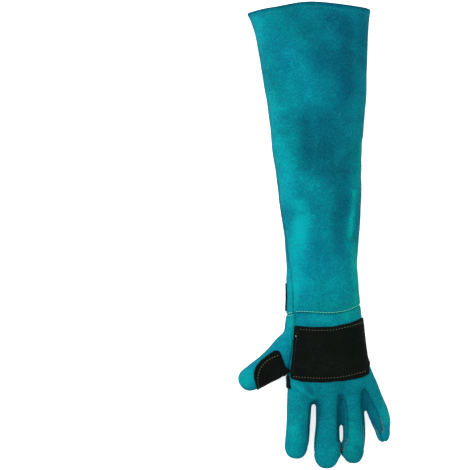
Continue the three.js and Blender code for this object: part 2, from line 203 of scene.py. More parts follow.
# Outlines seen from above
ARM_OPENING = [
    (-120, 278), (-86.7, 285.2), (-78, 287.7), (-66, 290.2), (-54, 292), (-42, 294), (-31, 296.4), (-20, 298),
    (-7, 298.8), (8, 298), (36, 295), (67, 291.4), (90, 282),
]
OPENING_LEAN = 0.075  # how much nearer to the fingers the rim is for each millimetre above this height
OPENING_MIDDLE = 28
WRIST_SEAM = [
    (-120, -108), (-38, -103), (-25, -99), (-7, -99.5), (18.7, -101), (38, -98.3), (51, -93.8),
    (60, -88.6), (90, -72),
]
THUMB_SEAM = [
    (-26.5, -60), (-26.8, -97), (-28, -118), (-30, -140), (-33, -162), (-35.8, -177), (-44, -193),
    (-64, -225),
]
PALM_PATCH = [
    (-27.4, -115.5), (-7, -117.2), (19, -116.8), (42, -112.4), (60.6, -105.8), (80, -98),
    (76, -145), (70, -162), (68.8, -171), (69, -178.6), (59, -182.8), (38, -186.3),
    (8.5, -188.8), (-17, -188), (-32, -184.6), (-32.6, -178), (-32.6, -171.5), (-31.6, -163),
    (-29.8, -145),
]
THUMB_PATCH = [
    (-52.3, -147.7), (-46.4, -148.5), (-41.5, -161), (-38.4, -169.3), (-35.8, -171.8), (-33.1, -172.3),
    (-33.1, -176.5), (-38.6, -181.5), (-56, -202), (-74.6, -206), (-76.6, -194), (-79.6, -184),
    (-79.9, -177.4), (-76.8, -169), (-70.4, -161.4), (-59.8, -153),
]
BACK_PATCH = [
    (-48, -62), (40, -62), (46, -68), (56, -130), (60, -190), (54, -198), (-37.2, -198),
    (-37.2, -182), (-31, -179), (-26, -155), (-24, -118), (-24, -100), (-48, -97),
]
BACK_PATCH_TOP = 28  # height to which the back patch wraps up
THUMB_PATCH_BOTTOM = 15  # height to which the thumb patch wraps down

# Lines of stitches on the patches, seen from above
PALM_STITCHES = [
    [
        (-22.4, -119.9), (-11.1, -121.2), (5.2, -121.6), (20.8, -121.1), (33.6, -118.8), (47.7, -115.4),
        (59.4, -112), (68, -109),
    ],
    [
        (-30.6, -181.4), (-18.9, -182), (-5, -182.9), (6.6, -183), (23.6, -182.3), (37.8, -180.4),
        (50.5, -177.8), (65, -174.4),
    ],
]
PALM_SIDE_STITCHES = [(-24, -122.5), (-26.4, -145), (-28.4, -163), (-29.2, -177)]
LOOSE_END = [(-26.3, -126.6), (-25.1, -132.6)]
THUMB_STITCHES = [
    (-72.5, -198), (-74.2, -191), (-74.6, -184), (-73.6, -178), (-71, -171.5), (-67, -166), (-61.5, -160.8),
    (-55, -156.8), (-47.5, -154.2),
]
FINGER_STITCHES_REACH = 36  # the fingers' stitches show this far from a fingertip
# Rows along the wrist seam: from x, to x, distance from it towards the arm, seen from above
WRIST_ROWS = [
    (-27.5, 72, 1.7, True), (-60, -27, 1.5, True), (-60, -27, -1.6, True),
    (-60, 72, 1.7, False), (-60, 72, 4.4, False),
]
# Rows along the hem: from x, to x, height of the leather there, seen from above
HEM_ROWS = [(-88, 72, 62, True), (-88, 72, 0, False)]

# Along a stitch: share of its length, height of its middle line in radii, thickness as a share
STITCH_STATIONS = [
    (0, -0.9, 0.35), (0.12, -0.2, 0.8), (0.35, 0.55, 1),
    (0.65, 0.55, 1), (0.88, -0.2, 0.8), (1, -0.9, 0.35),
]
STITCH_SIDES = 6
OVERHEAD = 150  # heights from which rows of stitches are dropped onto the leather
UNDERNEATH = -50
SHORTEST_RUN = 4  # points of a row that are too few for a stitch
SHORTEST_SEAM = 8

# Strokes of nap brushed lighter or darker, with painted shade in the slits between the fingers and painted
# highlights on the thumb's tip, the sleeve's lit left side and the ridge of the long fold: start x, y, end x,
# y, width, tone
NAP_AND_PAINTED_LIGHT = [
    (-20, 280, 50, 276, 28, -0.25), (22, 275, 38, 264, 14, -0.9), (38, 246, 37, 186, 19, -0.7),
    (38, 232, 40, 185, 11, -0.55), (-30, 205, -6, 182, 20, 0.25), (6, 225, 22, 206, 15, -0.35),
    (61, 277, 60, 225, 8, -0.5), (60, 212, 60, 135, 8, -0.25), (-15, 142, -13, 92, 10, -0.6),
    (-5, 150, -3, 94, 18, -0.75), (11, 148, 13, 92, 12, -0.65), (-13.5, 262, 16, 222, 11, -0.4),
    (3, 222, 8, 178, 12, -0.35), (12, 75, 30, 46, 11, -0.45), (26, 158, 30, 92, 19, -0.6),
    (31, 76, 38, 38, 13, -0.65), (27, 34, 31, -20, 9, -0.6), (-58.6, 174, -42, 45, 13, 0.45),
    (-36, 109, -31, 45, 9, 0.3), (-21, 34, -20, 2, 10, 0.6), (-15, 28, -18, -12, 13, 0.5),
    (-27, 10, -24, -60, 13, 0.55), (-30, -18, -28, -90, 7, 0.3), (-30, -66, -33, -112, 6, 0.5),
    (34, 106, 6, 86, 5, 0.2), (57.4, 114, 53.5, 64, 4, 0.55), (49.6, 55, 43.2, 0, 3.8, 0.9),
    (57, 45, 54, -7, 4, -0.3), (-14, -30, -12, -84, 16, 0.3), (19, -35, 25, -84, 15, 0.2),
    (13.5, -32, 13.5, -52, 5, -0.3), (44, -26, 51, -84, 10, 0.2), (48, -16, 52, -90, 5, 0.5),
    (38, -101, 56, -95, 6, 0.4), (-31, -112, -31, -142, 4, 0.6), (-26, -250, -26, -284, 10, 0.35),
    (49, -255, 48, -284, 8, 0.2), (-80, 276, -74, 240, 9, 0.3), (-44, 238, -40, 214, 12, -0.2),
    (-20, -108, 52, -104, 6, 0.3), (-26, -212, -28, -262, 9, 0.35), (-84, -179, -93, -190, 8, 0.35),
    (16, -214, 16, -276, 13, -0.1), (6, -216, 6, -230, 5, -0.45), (2.5, -214, 4, -238, 3.5, -0.9),
    (31.5, -207, 32.5, -262, 4, -1.5), (62.5, -200, 64.5, -222, 4, -1.0), (-28, -192, -5, -209, 2.6, 0.45),
    (-15, -191, -3, -205, 2.4, -0.4), (-4, -192, 0, -204, 2.6, 0.3), (-40, -128, -72, -166, 11, 0.3),
    (-88, -182, -92, -186, 11, 0.5), (82, -196, 94, -240, 6, 0.3),
]
# Strokes where the teal leans to green, in the same terms
GREEN = [
    (58, 120, 54, 68, 6, 1), (49.6, 56, 43.2, 0, 6, 0.9), (50, -5, 54, -84, 7, 0.9),
    (-10, -92, 48, -89, 5, 0.5), (84, -200, 95, -240, 7, 0.8), (52, -232, 50, -290, 12, 0.5),
    (-26, -245, -26, -285, 14, 0.15), (-88, -184, -94, -187, 9, 0.7), (-30, -70, -33, -110, 6, 0.4),
    (38, -101, 56, -95, 7, 0.9), (-31, -112, -31, -142, 4, 0.8),
]
STRIP_NAP_AND_SHADE = -0.85  # the side strips are darker: their own nap, and painted shade between the fingers
STEEP_PAINTED_SHADE = 0.9  # painted shade: leather that stands upright is darker too
STEEP = 0.6  # up or down, its normal points by less than this
RIM_PAINTED_SHADE = 2  # painted shade at the rim of the arm opening: how much darker it is, and how far in
RIM_PAINTED_SHADE_WIDTH = 3
NAP_HEIGHTS = (10, 30)  # heights over which the strokes of nap and painted light come in
EDGE_TINT_SEAM = 2.5  # distances over which the edge colour fades away from seams, the rim and cut edges
EDGE_TINT_RIM = 1.6
EDGE_TINT_CUT = 1.5


def bell(step, width):
    """Reach and weights of a running mean over width, for values one step apart."""
    reach = math.ceil(3 * width / step)
    weights = np.exp(-0.5 * (np.arange(-reach, reach + 1) * step / width) ** 2)
    return reach, weights / weights.sum()


def soften(values, step, width):
    """Columns of values, one row every step, smoothed over width. Straight runs keep their ends."""
    reach, kernel = bell(step, width)
    before = 2 * values[0] - values[reach:0:-1]
    after = 2 * values[-1] - values[-2:-reach - 2:-1]
    padded = np.concatenate([before, values, after])
    return np.stack([np.convolve(column, kernel, "valid") for column in padded.T], axis=1)


def read(rows, keys, at):
    """Rows given at increasing keys, read between them."""
    return np.stack([np.interp(at, keys, column) for column in rows.T], axis=-1)


def along_table(keys, rows, width, step=STEP):
    """Rows at increasing keys, resampled every step and softened."""
    fine = np.arange(keys[0], keys[-1], step)
    return fine, soften(read(rows, keys, fine), step, width)


def smooth_steps(value, low, high):
    """0 up to low, 1 from high, and a smooth rise between."""
    share = np.clip((value - low) / (high - low), 0, 1)
    return share * share * (3 - 2 * share)


def ridges(table, x, y, fall=2):
    """Height of the listed folds at the points x, y. A larger fall gives them steeper sides."""
    height = np.zeros_like(x)
    for x0, y0, x1, y1, width, rise in table:
        across, along = x1 - x0, y1 - y0
        share = ((x - x0) * across + (y - y0) * along) / (across ** 2 + along ** 2)
        share = np.clip(share, 0, 1)
        distance = np.hypot(x - x0 - share * across, y - y0 - share * along)
        height += rise * np.exp(-((distance / width) ** fall))
    return height


def columns(*parts):
    return np.stack(parts, axis=1)


def unit(vectors):
    return vectors / np.maximum(np.linalg.norm(vectors, axis=1), 1e-9)[:, None]


def lengths_along(line):
    """The distance from a line's start to each of its points."""
    return np.concatenate([[0], np.cumsum(np.linalg.norm(np.diff(line, axis=0), axis=1))])


def edges_of(faces):
    """All first edges of the triangles, as pairs of points, then all second and all third ones."""
    return np.concatenate([faces[:, [0, 1]], faces[:, [1, 2]], faces[:, [2, 0]]])


def merged(parts):
    """Several pairs of points and triangles as one."""
    points, faces, start = [], [], 0
    for part_points, part_faces in parts:
        points.append(part_points)
        faces.append(part_faces + start)
        start += len(part_points)
    return np.concatenate(points), np.concatenate(faces)


trunk_rows = np.array(TRUNK[::-1], float)
trunk_y, trunk = along_table(trunk_rows[:, 0], trunk_rows[:, 1:], TRUNK_SOFTNESS)


def trunk_at(y, column):
    """A column of the trunk's table at y: 0 left, 1 right, 5 and 6 the heights of the seams."""
    return np.interp(y, trunk_y, trunk[:, column])


def power(value):
    """Sine or cosine bent so that a section is squarer than an ellipse."""
    return np.sign(value) * np.abs(value) ** (2 / SQUARENESS)


def trunk_rings(sides=180):
    """Rings of points round the sleeve and hand, closed off towards the fingers."""
    turn = 2 * np.pi * (np.arange(sides) + 0.5) / sides
    rings = []
    for y, (left, right, top, sag, lift, _, _) in zip(trunk_y[::-1], trunk[::-1]):
        half_height = (top - lift + sag) / 2
        x = (left + right) / 2 + (right - left) / 2 * power(np.cos(turn))
        up = half_height * power(np.sin(turn))
        fold = ridges(FOLDS, x, np.full(sides, y)) * np.clip(2 * up / half_height, 0, 1)
        z = np.maximum((top + lift - sag) / 2 + up, lift) + fold
        rings.append(columns(x, np.full(sides, y), z))
    end = rings[-1]
    middle = end.mean(axis=0)
    for share in (0.35, 0.65, 0.85, 0.96):
        ring = middle + (end - middle) * math.sqrt(1 - share ** 2)
        ring[:, 1] = end[0, 1] - TRUNK_TIP * share
        rings.append(ring)
    return np.array(rings)


class Finger:
    """A finger or thumb: its middle line, and the directions along, across and to the palm side."""

    def __init__(self, shape):
        self.tip, rows = shape
        rows = np.array(rows, float)
        _, fine = along_table(lengths_along(rows[:, :3]), rows, FINGER_SOFTNESS)
        self.centre, self.width, self.depth = fine[:, :3], fine[:, 3], fine[:, 4]
        self.strip = fine[:, 6]
        self.along = unit(np.gradient(self.centre, axis=0))
        level = unit(np.cross([0, 0, 1], self.along))
        roll = -np.radians(fine[:, 5])[:, None]
        self.across = level * np.cos(roll) + np.cross(self.along, level) * np.sin(roll)
        self.palmward = np.cross(self.along, self.across)

    def rings(self, sides=72):
        turn = 2 * np.pi * (np.arange(sides) + 0.5) / sides
        out, up = power(np.cos(turn))[:, None], power(np.sin(turn))[:, None]

        def ring(i, scale, reach):
            centre = self.centre[i] + self.along[i] * reach
            sideways = self.across[i] * out * self.width[i]
            upwards = self.palmward[i] * up * self.depth[i]
            return centre + scale * (sideways + upwards) / 2

        rings = [ring(i, 1, 0) for i in range(len(self.centre))]
        for share in np.linspace(0, 1, 16)[1:-1]:
            turned = share * np.pi / 2
            rings.append(ring(-1, np.cos(turned) ** 0.8, self.tip * np.sin(turned)))
        return np.array(rings)

    def at(self, y):
        """Centre x and z, palmward x and z, and strip half height where the middle line passes y."""
        line = self.centre[::-1, 1]
        beyond = np.minimum(y - line[0], 0)
        slope = self.along[-1] / self.along[-1, 1]
        x, z = [np.interp(y, line, self.centre[::-1, k]) + beyond * slope[k] for k in (0, 2)]
        palm_x, palm_z = [np.interp(y, line, self.palmward[::-1, k]) for k in (0, 2)]
        return x, z, palm_x, palm_z, np.interp(y, line, self.strip[::-1]) + beyond

    def above(self, p):
        """How far points lie to the palm side of the middle line."""
        x, z, palm_x, palm_z, _ = self.at(p[:, 1])
        return (p[:, 0] - x) * palm_x + (p[:, 2] - z) * palm_z


fingers = [Finger(shape) for shape in (INDEX, MIDDLE, RING, PINKY)]
thumb = Finger(THUMB)
web = Finger(WEB)


def loft(rings):
    """Points and triangles of the closed tube through the rings."""
    count, sides = rings.shape[:2]
    points = np.concatenate([rings.reshape(-1, 3), [rings[0].mean(axis=0), rings[-1].mean(axis=0)]])
    start, end = count * sides, count * sides + 1
    i = np.arange(sides)
    j = (i + 1) % sides
    faces = [columns(np.full(sides, start), j, i)]
    for r in range(count - 1):
        a, b = r * sides, (r + 1) * sides
        faces.append(columns(a + i, a + j, b + j))
        faces.append(columns(a + i, b + j, b + i))
    last = (count - 1) * sides
    faces.append(columns(np.full(sides, end), last + i, last + j))
    return points, np.concatenate(faces)


def new_mesh(name, points, faces):
    """A mesh of triangles from points in millimetres."""
    mesh = bpy.data.meshes.new(name)
    mesh.vertices.add(len(points))
    mesh.vertices.foreach_set("co", (np.asarray(points) * MM).astype(np.float32).ravel())
    mesh.loops.add(len(faces) * 3)
    mesh.loops.foreach_set("vertex_index", np.asarray(faces, np.int32).ravel())
    mesh.polygons.add(len(faces))
    mesh.polygons.foreach_set("loop_start", np.arange(0, len(faces) * 3, 3, dtype=np.int32))
    mesh.update(calc_edges=True)
    mesh.shade_smooth()
    return mesh


def new_object(name, data):
    """An object in the scene that shows a mesh, or is a light or camera."""
    made = bpy.data.objects.new(name, data)
    bpy.context.scene.collection.objects.link(made)
    return made


def arrays_of(mesh):
    """Points in millimetres and triangles of a mesh."""
    mesh.calc_loop_triangles()
    points = np.empty(len(mesh.vertices) * 3)
    mesh.vertices.foreach_get("co", points)
    faces = np.empty(len(mesh.loop_triangles) * 3, np.int32)
    mesh.loop_triangles.foreach_get("vertices", faces)
    return points.reshape(-1, 3) / MM, faces.reshape(-1, 3)


def joined_skin():
    """The lofts joined into one closed skin, as points and triangles."""
    parts = [loft(trunk_rings())] + [loft(finger.rings()) for finger in (*fingers, thumb, web)]
    mesh = new_mesh("form", *merged(parts))
    form = new_object("form", mesh)
    remesh = form.modifiers.new("join", "REMESH")
    remesh.mode = "VOXEL"
    remesh.voxel_size = VOXEL * MM
    graph = bpy.context.evaluated_depsgraph_get()
    points, faces = arrays_of(form.evaluated_get(graph).to_mesh())
    bpy.data.objects.remove(form)
    bpy.data.meshes.remove(mesh)
    return points, faces


def relax(points, faces, rounds, weight):
    """Points moved towards the middle of their neighbours."""
    a, b = np.unique(np.sort(edges_of(faces), axis=1), axis=0).T
    n = len(points)
    count = np.bincount(a, minlength=n) + np.bincount(b, minlength=n)
    for _ in range(rounds):
        total = [np.bincount(a, points[b, k], n) + np.bincount(b, points[a, k], n) for k in range(3)]
        points = points + weight[:, None] * (np.stack(total, axis=1) / count[:, None] - points)
    return points


def point_normals(points, faces):
    """Outward directions at the points, weighted by the area of the triangles around them."""
    a, b, c = points[faces].transpose(1, 0, 2)
    face = np.cross(b - a, c - a)
    n = len(points)
    total = [sum(np.bincount(faces[:, i], face[:, k], n) for i in range(3)) for k in range(3)]
    return unit(np.stack(total, axis=1))


def wobble(points, size, seed):
    """Smooth noise from -1 to 1 with bumps of about this size."""
    moved = points / size + seed * 17.3
    return np.array([noise.noise(Vector(p)) for p in moved])


class Skin:
    """Triangles that can be cut along the line where a field of their points is zero."""

    def __init__(self, points, faces):
        self.points, self.faces = points, faces
        self.zone = np.zeros(len(faces), int)

    def split(self, field, chosen):
        """Cut the chosen faces along field = 0, and say which of them lie where it is positive."""
        value = field(self.points)
        a, b = edges_of(self.faces[chosen]).T
        crossing = value[a] * value[b] < 0
        a, b = a[crossing], b[crossing]
        share = value[a] / (value[a] - value[b])
        near = share < NEAR_POINT
        moved, toward, share = a[near], b[near], share[near]
        self.points[moved] += share[:, None] * (self.points[toward] - self.points[moved])
        value[moved] = 0

        inside = value > 0
        count = inside[self.faces].sum(axis=1)
        cut = chosen & (count > 0) & (count < 3)
        f = self.faces[cut]
        alone = np.where((inside[f].sum(axis=1) == 1)[:, None], inside[f], ~inside[f])
        k = alone.argmax(axis=1)
        rows = np.arange(len(f))
        a, b, c = f[rows, k], f[rows, (k + 1) % 3], f[rows, (k + 2) % 3]
        pairs = np.sort(np.concatenate([columns(a, b), columns(a, c)]), axis=1)
        pairs, found = np.unique(pairs, axis=0, return_inverse=True)
        found = found.ravel()
        low, high = pairs.T
        share = value[low] / np.where(value[low] == value[high], 1, value[low] - value[high])
        fresh = self.points[low] + share[:, None] * (self.points[high] - self.points[low])
        number = np.arange(len(pairs)) + len(self.points)
        number = np.where(value[low] == 0, low, np.where(value[high] == 0, high, number))
        ab, ac = number[found[:len(f)]], number[found[len(f):]]
        made = np.concatenate([columns(a, ab, ac), columns(ab, b, c), columns(ab, c, ac)])
        zones = np.tile(self.zone[cut], 3)
        whole = (made[:, 0] != made[:, 1]) & (made[:, 1] != made[:, 2]) & (made[:, 2] != made[:, 0])
        self.points = np.concatenate([self.points, fresh])
        value = np.concatenate([value, np.zeros(len(fresh))])
        self.faces = np.concatenate([self.faces[~cut], made[whole]])
        self.zone = np.concatenate([self.zone[~cut], zones[whole]])
        chosen = np.concatenate([chosen[~cut], np.ones(whole.sum(), bool)])
        return chosen & (value[self.faces].sum(axis=1) > 0)

    def name_zone(self, field, chosen, zone):
        inside = self.split(field, chosen)
        self.zone[inside] = zone


def line_reader(line, key):
    """One coordinate of a plan line as a function of the other."""
    line = np.array(sorted(line, key=lambda p: p[key]), float)
    fine, soft = along_table(line[:, key], line[:, [1 - key]], LINE_SOFTNESS, LINE_STEP)
    return lambda at: np.interp(at, fine, soft[:, 0])


opening_y = line_reader(ARM_OPENING, 0)
wrist_y = line_reader(WRIST_SEAM, 0)
thumb_x = line_reader(THUMB_SEAM, 1)


def opening_field(p):
    """Distance from the rim of the arm opening, positive in the gauntlet."""
    return opening_y(p[:, 0]) - OPENING_LEAN * (p[:, 2] - OPENING_MIDDLE) - p[:, 1]


def seam_height(p):
    """Height of the sheet in which the side seams lie."""
    x, y = p[:, 0], p[:, 1]
    left, right = trunk_at(y, 0), trunk_at(y, 1)
    share = np.clip((x - left) / (right - left), 0, 1)
    on_trunk = trunk_at(y, 5) * (1 - share) + trunk_at(y, 6) * share
    nearest = np.full(len(p), np.inf)
    on_finger = np.zeros(len(p))
    for finger in fingers:
        centre_x, centre_z, palm_x, palm_z, _ = finger.at(y)
        away = np.abs(x - centre_x)
        height = centre_z - (x - centre_x) * np.clip(palm_x / palm_z, -2, 2)
        on_finger = np.where(away < nearest, height, on_finger)
        nearest = np.minimum(nearest, away)
    share = smooth_steps(-y, *FINGER_ROOTS)
    return on_trunk * (1 - share) + on_finger * share


def strip_field(left, right):
    """Positive on the side strip between two neighbouring fingers."""
    def field(p):
        x, y = p[:, 0], p[:, 1]
        left_x, _, _, _, left_half = left.at(y)
        right_x, _, _, _, right_half = right.at(y)
        gap = right_x - left_x
        share = smooth_steps(x, left_x + 0.3 * gap, left_x + 0.7 * gap)
        half = left_half * (1 - share) + right_half * share
        return half - np.abs(left.above(p) * (1 - share) + right.above(p) * share)
    return field


def strip_reach(left, right, p):
    """Which points lie between the middle lines of two fingers, beyond their roots."""
    x, y, z = p.T
    left_x = left.at(y)[0]
    right_x, right_z, palm_x, palm_z, _ = right.at(y)
    before_right = (x - right_x) * palm_z - (z - right_z) * palm_x < 0
    return (x > left_x) & before_right & (y < STRIP_START)


def outline_distance(outline, p, margin=12):
    """Distance inside a plan outline, negative outside it."""
    outline = np.array(outline, float)
    low, high = outline.min(axis=0) - margin, outline.max(axis=0) + margin
    near = np.all((p[:, :2] > low) & (p[:, :2] < high), axis=1)
    result = np.full(len(p), -float(margin))
    x, y = p[near, 0], p[near, 1]
    best = np.full(len(x), np.inf)
    inside = np.zeros(len(x), bool)
    for (x0, y0), (x1, y1) in zip(outline, np.roll(outline, -1, axis=0)):
        dx, dy = x1 - x0, y1 - y0
        share = np.clip(((x - x0) * dx + (y - y0) * dy) / (dx * dx + dy * dy), 0, 1)
        best = np.minimum(best, np.hypot(x - x0 - share * dx, y - y0 - share * dy))
        spans = (y0 > y) != (y1 > y)
        inside ^= spans & (x < x0 + (y - y0) * dx / (dy if dy else 1e-9))
    result[near] = np.where(inside, best, -best)
    return result


def rounded(outline, radius=1.3):
    """A plan outline with softened corners, as closely spaced points."""
    outline = np.array(outline, float)
    closed = np.concatenate([outline, outline[:1]])
    length = lengths_along(closed)
    count = int(length[-1])
    at = np.linspace(0, length[-1], count, endpoint=False)
    points = read(closed, length, at)
    reach, kernel = bell(1, radius)
    wrapped = np.concatenate([points[-reach:], points, points[:reach]])
    return np.stack([np.convolve(column, kernel, "valid") for column in wrapped.T], axis=1)


# Skin of the whole gauntlet: joined, smoothed and given its small creases

points, faces = joined_skin()
points = relax(points, faces, FORM_ROUNDS, np.full(len(points), SMOOTHING))
soft = np.zeros(len(points))
for x, y, reach_x, reach_y, amount in JUNCTIONS:
    near = np.exp(-(((points[:, 0] - x) / reach_x) ** 2 + ((points[:, 1] - y) / reach_y) ** 2))
    soft = np.maximum(soft, np.clip(1.4 * amount * near, 0, 1))
points = relax(points, faces, JUNCTION_ROUNDS, SMOOTHING * soft)

normals = point_normals(points, faces)
palmwards = smooth_steps(normals[:, 2], *PALM_FACING)
resting = smooth_steps(-normals[:, 2], *RESTING)
height = ridges(CREASES, points[:, 0], points[:, 1]) * palmwards
for seed, (size, rise, lost) in enumerate(WOBBLES, 1):
    height += rise * wobble(points, size, seed) * (1 - lost * resting)
for x, y, z, reach, depth in DENTS:
    height -= depth * np.exp(-np.sum((points - (x, y, z)) ** 2, axis=1) / reach ** 2)
points = points + normals * height[:, None]

skin = Skin(points, faces)
kept = skin.split(opening_field, np.ones(len(skin.faces), bool))
skin.faces, skin.zone = skin.faces[kept], skin.zone[kept]

# The panels, cut out of the skin one after the other

PANELS = [
    "sleeve_front", "sleeve_back", "hand_palm", "hand_back", "thumb",
    "side_strip_index_middle", "side_strip_middle_ring", "side_strip_ring_pinky",
]
SLEEVE_FRONT, SLEEVE_BACK, HAND_PALM, HAND_BACK, THUMB_PANEL, FIRST_STRIP = range(6)

skin.name_zone(lambda p: wrist_y(p[:, 0]) - p[:, 1], skin.zone == SLEEVE_FRONT, HAND_PALM)
skin.name_zone(lambda p: thumb_x(p[:, 1]) - p[:, 0], skin.zone == HAND_PALM, THUMB_PANEL)
for k, (left, right) in enumerate(zip(fingers, fingers[1:])):
    middles = skin.points[skin.faces].mean(axis=1)
    chosen = (skin.zone == HAND_PALM) & strip_reach(left, right, middles)
    skin.name_zone(strip_field(left, right), chosen, FIRST_STRIP + k)


def below_seams(p):
    return seam_height(p) - p[:, 2]


skin.name_zone(below_seams, skin.zone == SLEEVE_FRONT, SLEEVE_BACK)
skin.name_zone(below_seams, skin.zone == HAND_PALM, HAND_BACK)

# Seams: each panel's edge rolls inwards, and the leather around it is drawn in a little

points, faces = skin.points, skin.faces
normals = point_normals(points, faces)
uses = np.zeros(len(points), int)
for k in range(len(PANELS)):
    uses[np.unique(faces[skin.zone == k])] += 1
seam_points = np.flatnonzero(uses > 1)
tree = KDTree(len(seam_points))
for i in seam_points:
    tree.insert(Vector(points[i]), int(i))
tree.balance()
seam_distance = np.array([tree.find(Vector(p))[2] for p in points])
rim_distance = opening_field(points)
groove = sum(depth * np.exp(-((seam_distance / width) ** 2)) for depth, width in SEAM_GROOVES)
groove *= smooth_steps(rim_distance, *GROOVE_ENDS) * (1 - GROOVE_AT_RIM) + GROOVE_AT_RIM
smooth_skin = points.copy()
points = points - normals * groove[:, None]

for x, y, reach, push in CONTACTS:
    away = points[:, 0] - x
    near = np.exp(-(((points[:, 1] - y) / reach) ** 6) - (away / CONTACT_WIDTH) ** 4)
    left_over = np.maximum(np.abs(away) - push * near, np.minimum(np.abs(away), CONTACT_GAP / 2))
    points[:, 0] = x + np.sign(away) * left_over

# The hem: the edge at the arm opening is turned in and stitched

edge = np.clip(EDGE_ROUND - rim_distance, 0, EDGE_ROUND)
rounding = EDGE_ROUND - np.sqrt(EDGE_ROUND ** 2 - edge ** 2)
hem = 1 - smooth_steps(rim_distance, HEM - HEM_BLEND, HEM + HEM_BLEND)
stitch_line = np.exp(-(((rim_distance - HEM_STITCH) / HEM_CHANNEL) ** 2))
outer = points + normals * (HEM_RISE * hem - HEM_PRESS * stitch_line - rounding)[:, None]
thickness = LEATHER + HEM_EXTRA * hem - HEM_THINNER * stitch_line - 2 * rounding
inner = outer - normals * np.maximum(thickness, THINNEST)[:, None]
outer[:, 2] = np.maximum(outer[:, 2], LEATHER_LOW)


def shell(name, outer, inner, faces, **layers):
    """A closed sheet between two surfaces that share their faces."""
    used, faces = np.unique(faces, return_inverse=True)
    faces = faces.reshape(-1, 3)
    outer, inner = outer[used].copy(), inner[used].copy()
    n = len(used)
    directed = edges_of(faces)
    keys = directed[:, 0] * n + directed[:, 1]
    back = directed[:, 1] * n + directed[:, 0]
    border = directed[~np.isin(keys, back)]
    on_border = np.unique(border)
    total = np.stack([np.bincount(directed[:, 0], outer[directed[:, 1], k], n) for k in range(3)], axis=1)
    count = np.maximum(np.bincount(directed[:, 0], minlength=n), 1)[:, None]
    inwards = (total / count - outer)[on_border]
    inwards *= SEAM_PULL / np.maximum(np.linalg.norm(inwards, axis=1), 1e-6)[:, None]
    outer[on_border] += inwards
    inner[on_border] += inwards
    i, j = border.T
    sides = np.concatenate([columns(j, i, i + n), columns(j, i + n, j + n)])
    points = np.concatenate([outer, inner])
    mesh = new_mesh(name, points, np.concatenate([faces, faces[:, ::-1] + n, sides]))
    for label, values in layers.items():
        layer = mesh.attributes.new(label, "FLOAT", "POINT")
        layer.data.foreach_set("value", np.tile(values[used], 2).astype(np.float32))
    piece = new_object(name, mesh)
    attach(piece, "root")
    return piece


# Tone of the leather: nap with painted shade and painted highlights, painted shade at the rim and on upright
# sides
tone = ridges(NAP_AND_PAINTED_LIGHT, points[:, 0], points[:, 1], fall=2.6) * smooth_steps(points[:, 2], *NAP_HEIGHTS)
tone -= RIM_PAINTED_SHADE * np.exp(-((rim_distance / RIM_PAINTED_SHADE_WIDTH) ** 2))
tone -= STEEP_PAINTED_SHADE * (1 - smooth_steps(np.abs(normals[:, 2]), 0, STEEP))
green = ridges(GREEN, points[:, 0], points[:, 1])
# the leather turns towards its edge colour near seams and the rim
wear = np.exp(-seam_distance / EDGE_TINT_SEAM)
wear = np.maximum(wear, np.exp(-np.maximum(rim_distance, 0) / EDGE_TINT_RIM))
panels = []
for k, node in enumerate(PANELS):
    # each panel's tone with its painted light; the side strips are darker by their own nap and by painted
    # shade
    nap = tone + STRIP_NAP_AND_SHADE if k >= FIRST_STRIP else tone
    piece = shell("leather_" + node, outer, inner, faces[skin.zone == k], tone=nap, green=green, wear=wear)
    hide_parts(node)
    panels.append(piece)

# Patches: a second layer that follows the skin, with cut edges and a stitched border


def patch(name, node, outline, limit):
    """A patch inside a plan outline, on the side of the gauntlet where limit is positive."""
    base = Skin(smooth_skin.copy(), faces.copy())
    outline = rounded(outline)

    def field(p):
        return np.minimum(outline_distance(outline, p), limit(p))

    kept = base.split(field, np.ones(len(base.faces), bool))
    chosen = base.faces[kept]
    base_normals = point_normals(base.points, base.faces)
    distance = np.maximum(field(base.points), 0)
    edge = np.clip(1 - distance / CUT_EDGE, 0, 1)
    body = PATCH * (CUT_HEIGHT + (1 - CUT_HEIGHT) * np.sqrt(1 - edge ** 2))
    sewn = np.exp(-(((distance - STITCH_INSET) / STITCH_CHANNEL) ** 2))
    top = base.points + base_normals * (PATCH_GAP + body - STITCH_PRESS * sewn)[:, None]
    bottom = base.points + base_normals * PATCH_GAP
    top[:, 2] = np.maximum(top[:, 2], PATCH_LOW)
    # the patch turns towards its edge colour near its cut edge
    piece = shell(name, top, bottom, chosen, wear=np.exp(-distance / EDGE_TINT_CUT))
    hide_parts(node)
    return piece


patches = [
    patch("patch_palm", "palm_patch", PALM_PATCH, lambda p: p[:, 2] - seam_height(p) - 1),
    patch("patch_thumb", "thumb_patch", THUMB_PATCH, lambda p: p[:, 2] - THUMB_PATCH_BOTTOM),
    patch("patch_back", "back_patch", BACK_PATCH, lambda p: BACK_PATCH_TOP - p[:, 2]),
]

# Stitches: each a short bowed capsule of thread whose ends dip into the leather


def surface_of(pieces):
    """The pieces' triangles in one search tree."""
    points, faces = merged([arrays_of(piece.data) for piece in pieces])
    return BVHTree.FromPolygons(points.tolist(), faces.tolist())


def laid(line, tree, from_above=True, step=0.6):
    """Points and normals of a plan line dropped onto a surface."""
    line = np.array(line, float)
    length = lengths_along(line)
    plan = read(line, length, np.arange(0, length[-1], step))
    height, towards = (OVERHEAD, -1) if from_above else (UNDERNEATH, 1)
    runs = [[]]
    for x, y in plan:
        spot, normal, _, _ = tree.ray_cast(Vector((x, y, height)), Vector((0, 0, towards)))
        if spot is None:
            runs.append([])
        else:
            runs[-1].append((spot, normal))
    return [run for run in runs if len(run) > SHORTEST_RUN]


